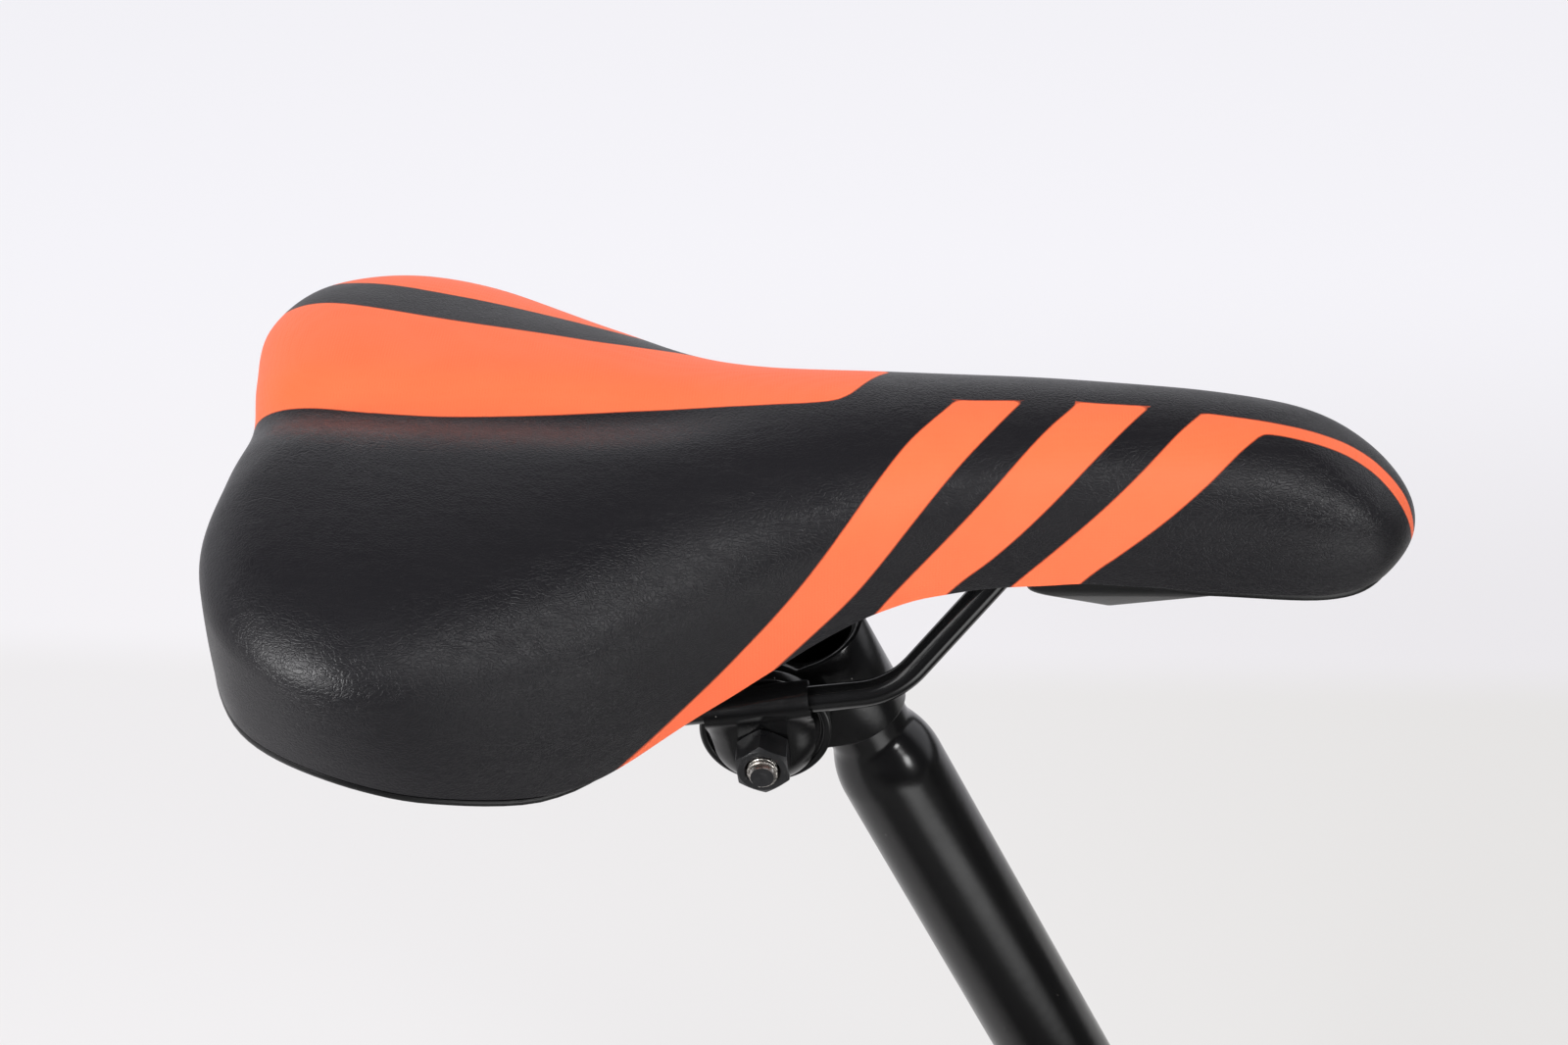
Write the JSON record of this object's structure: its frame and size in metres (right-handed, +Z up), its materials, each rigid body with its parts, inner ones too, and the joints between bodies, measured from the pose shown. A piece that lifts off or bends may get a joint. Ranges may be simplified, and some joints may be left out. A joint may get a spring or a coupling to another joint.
{
  "type": "bicycle saddle and seatpost",
  "caption": "Padded bicycle saddle with a moulded shell and bent rod rails, held in a serrated rail clamp on a swaged, leaning seatpost.",
  "frame": {"origin": "centre of the seatpost's lower end, on the post's axis", "axes": "+Z up with the saddle level, +X towards the nose, +Y to the rider's left; the post leans 25 degrees back from +Z in the XZ plane"},
  "size_m": [0.2943, 0.1732, 0.3534],
  "materials": {
    "post_paint": "glossy black paint on steel tube",
    "clamp_paint": "glossy black paint on pressed steel",
    "rail_paint": "glossy black paint on steel rod",
    "nut_finish": "black finish, slightly worn at the corners",
    "stud_steel": "bright threads at the ends",
    "shell_plastic": "glossy black moulded plastic",
    "foam": "open-cell foam, hidden by the cover",
    "cover_vinyl": "grained vinyl, black with orange printed panels and stripes"
  },
  "bodies": {
    "post": {"seatpost": "post_paint"},
    "band": {"clamp_band": "clamp_paint"},
    "cradle": {"inner_plate_left": "clamp_paint", "inner_plate_right": "clamp_paint", "outer_plate_left": "clamp_paint", "outer_plate_right": "clamp_paint", "clamp_stud": "stud_steel", "nut_left": "nut_finish", "nut_right": "nut_finish"},
    "saddle": {"saddle_rails": "rail_paint", "saddle_shell": "shell_plastic", "foam_pad": "foam", "saddle_cover": "cover_vinyl"}
  },
  "joints": [
    {"name": "post_swivel", "type": "hinge", "parent": "post", "child": "band", "pos_m": [-0.12319, 0, 0.26419], "axis": [-0.4226, 0, 0.9063], "continuous": true},
    {"name": "saddle_tilt", "type": "hinge", "parent": "band", "child": "cradle", "pos_m": [-0.13951, 0, 0.25658], "axis": [0, 1, 0], "range_deg": [-15, 15]},
    {"name": "saddle_slide", "type": "slide", "parent": "cradle", "child": "saddle", "axis": [0.9866, 0, 0.1633], "range_m": [-0.01, 0.02]}
  ]
}
